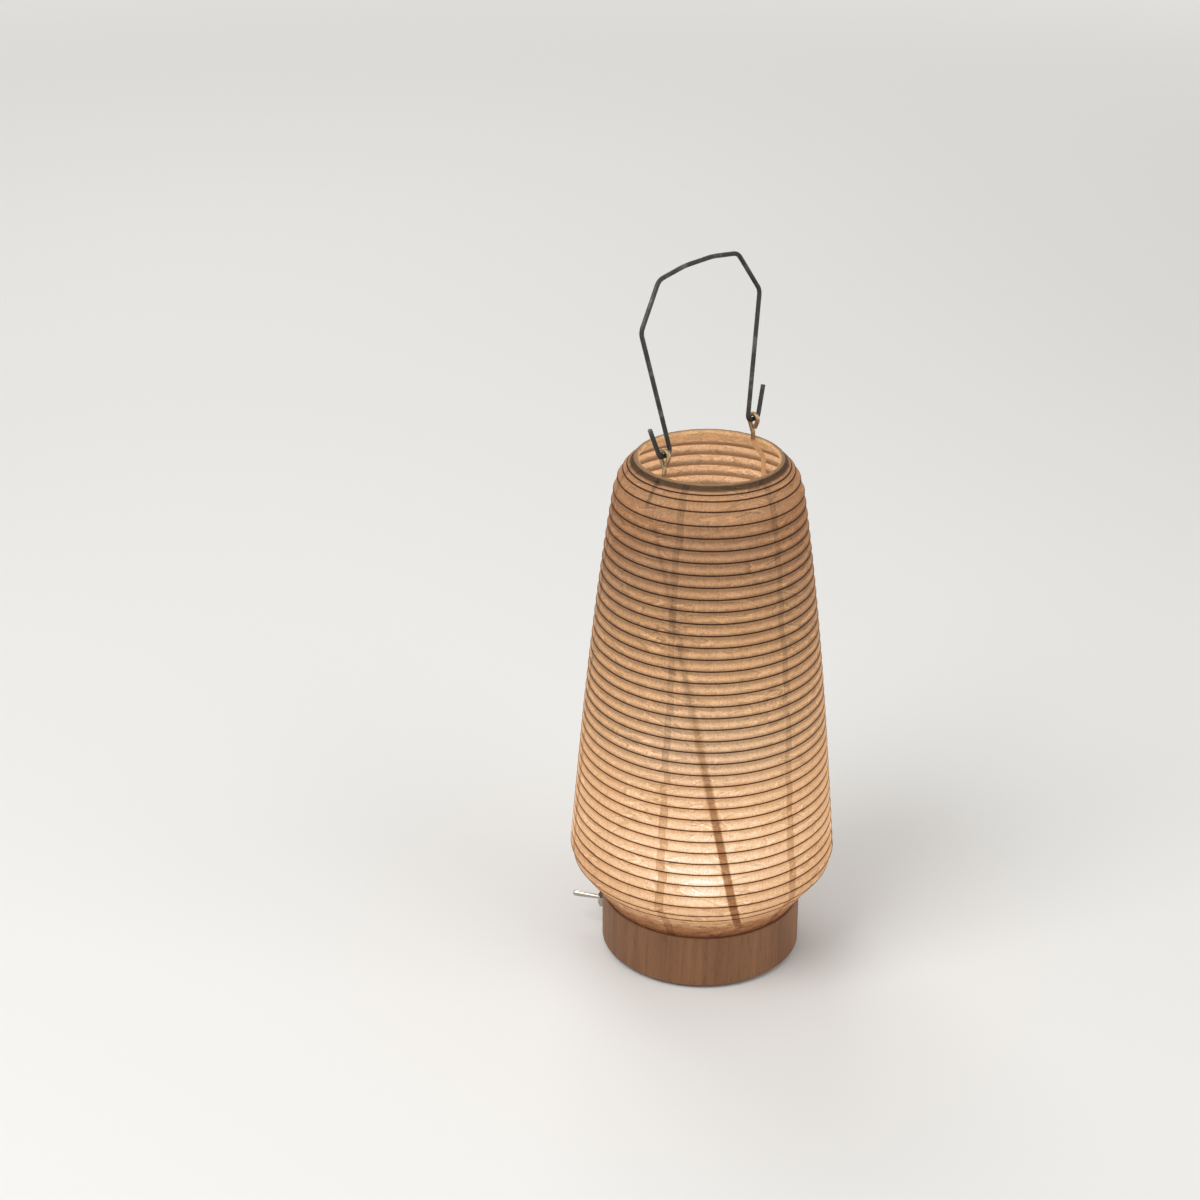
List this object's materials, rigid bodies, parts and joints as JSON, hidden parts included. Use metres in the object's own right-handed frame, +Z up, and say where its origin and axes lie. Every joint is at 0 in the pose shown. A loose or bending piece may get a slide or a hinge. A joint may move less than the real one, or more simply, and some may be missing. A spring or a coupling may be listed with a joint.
{
  "type": "paper table lantern",
  "caption": "Small battery table lantern with a ribbed paper shade on a turned wood base, two upright wires and a wire bail handle.",
  "frame": {"origin": "on the lamp's axis, at the underside of the rubber feet", "axes": "+Z up the lamp's axis, +X along the handle's hinge line, +Y towards the half of the base that holds the switch"},
  "size_m": [0.1214, 0.1214, 0.3304],
  "materials": {
    "wood": "turned hardwood with a thin satin oil",
    "paper": "thin fibrous paper, matt, lit from inside",
    "bamboo": "thin split bamboo, matt",
    "dark_wire": "oiled dark steel wire, satin",
    "bright_wire": "plain drawn steel wire",
    "brass": "turned brass",
    "nickel": "nickel-plated, bright",
    "zinc": "zinc-plated steel",
    "rubber": "soft black rubber",
    "black_plastic": "fine matt moulding",
    "red_plastic": "glossy red plastic",
    "board": "white solder mask",
    "frosted": "frosted clear plastic",
    "led": "yellow phosphor",
    "resistor": "lacquered ceramic body",
    "cell_can": "bare printed can without any lettering"
  },
  "bodies": {
    "lamp": {"wood_base": "wood", "bottom_cover": "black_plastic", "cover_screws": "zinc", "rubber_feet": "rubber", "battery_holder": "black_plastic", "battery_cells": "cell_can", "battery_contacts": "zinc", "toggle_body": "red_plastic", "toggle_terminals": "zinc", "toggle_bush": "nickel", "toggle_nut": "nickel", "led_board": "board", "led_screws": "zinc", "led_chip": "led", "led_dome": "frosted", "resistor": "resistor", "red_lead": "red_plastic", "black_lead": "black_plastic", "switch_lead": "red_plastic", "upright_sockets": "brass", "left_upright": "bright_wire", "right_upright": "bright_wire", "mouth_ring": "dark_wire", "bottom_ring": "dark_wire", "shade_ribs": "bamboo", "shade_paper": "paper"},
    "handle": {"handle": "dark_wire"},
    "toggle_lever": {"toggle_lever": "nickel"}
  },
  "joints": [
    {"name": "handle_swing", "type": "hinge", "parent": "lamp", "child": "handle", "pos_m": [0, 0, 0.2526], "axis": [1, 0, 0], "range_deg": [-109, 121]},
    {"name": "toggle_throw", "type": "hinge", "parent": "lamp", "child": "toggle_lever", "pos_m": [-0.0266, 0.0353, 0.0171], "axis": [0, 0, 1], "range_deg": [0, 25]}
  ]
}
